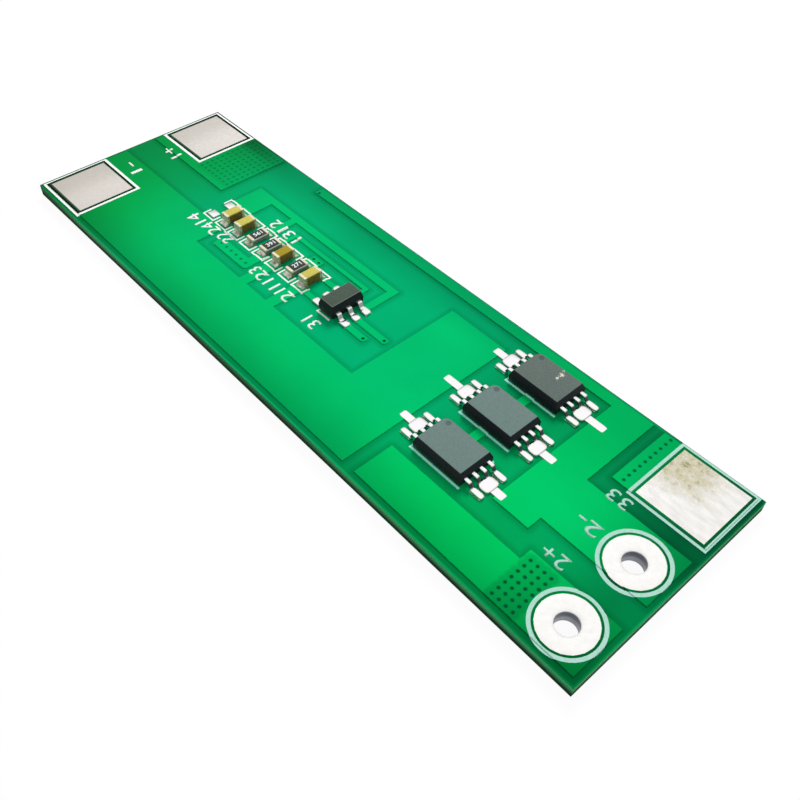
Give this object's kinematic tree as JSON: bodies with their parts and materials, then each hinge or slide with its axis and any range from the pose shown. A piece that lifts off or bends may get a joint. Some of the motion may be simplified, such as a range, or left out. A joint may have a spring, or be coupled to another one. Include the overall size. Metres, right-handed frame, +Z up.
{
  "type": "battery protection board",
  "caption": "Slim green circuit board with power transistors, a controller chip, chip resistors and capacitors, square battery lands and round plated output holes.",
  "frame": {"origin": "middle of the underside, on the plane the board rests on", "axes": "+X along the board from the battery lands to the output holes, +Y across it towards the plus land's edge, +Z up out of the component side"},
  "size_m": [0.0576, 0.0176, 0.0022],
  "materials": {
    "laminate": "woven glass-epoxy, sawn edge",
    "copper": "etched copper under lacquer",
    "lacquer": "green solder lacquer, satin",
    "ink": "white printed ink",
    "tin": "levelled solder coat, dull",
    "solder": "reflowed solder, bright",
    "moulding": "black moulded epoxy, fine matt",
    "lead_metal": "tin-plated lead strip",
    "silicon": "sawn silicon",
    "capacitor_ceramic": "fired tan ceramic",
    "resistor_ceramic": "fired white ceramic",
    "resistor_coat": "black printed coat",
    "end_metal": "tin-plated end, satin"
  },
  "bodies": {
    "root": {"battery_middle_tinning": "tin", "battery_minus_tinning": "tin", "battery_plus_tinning": "tin", "bottom_copper": "copper", "bottom_mask": "lacquer", "capacitor_1_body": "capacitor_ceramic", "capacitor_1_end_caps": "end_metal", "capacitor_2_body": "capacitor_ceramic", "capacitor_2_end_caps": "end_metal", "capacitor_3_body": "capacitor_ceramic", "capacitor_3_end_caps": "end_metal", "capacitor_4_body": "capacitor_ceramic", "capacitor_4_end_caps": "end_metal", "chip_solder": "solder", "controller_body": "moulding", "controller_die": "silicon", "controller_leads": "lead_metal", "controller_solder": "solder", "laminate": "laminate", "legend": "ink", "output_minus_tinning": "tin", "output_plus_tinning": "tin", "resistor_1_end_wraps": "end_metal", "resistor_1_overcoat": "resistor_coat", "resistor_1_substrate": "resistor_ceramic", "resistor_2_end_wraps": "end_metal", "resistor_2_overcoat": "resistor_coat", "resistor_2_substrate": "resistor_ceramic", "resistor_3_end_wraps": "end_metal", "resistor_3_overcoat": "resistor_coat", "resistor_3_substrate": "resistor_ceramic", "spare_land_tinning": "tin", "top_copper": "copper", "top_mask": "lacquer", "transistor_1_body": "moulding", "transistor_1_die": "silicon", "transistor_1_leads": "lead_metal", "transistor_1_solder": "solder", "transistor_2_body": "moulding", "transistor_2_die": "silicon", "transistor_2_leads": "lead_metal", "transistor_2_solder": "solder", "transistor_3_body": "moulding", "transistor_3_die": "silicon", "transistor_3_leads": "lead_metal", "transistor_3_solder": "solder"}
  },
  "joints": []
}
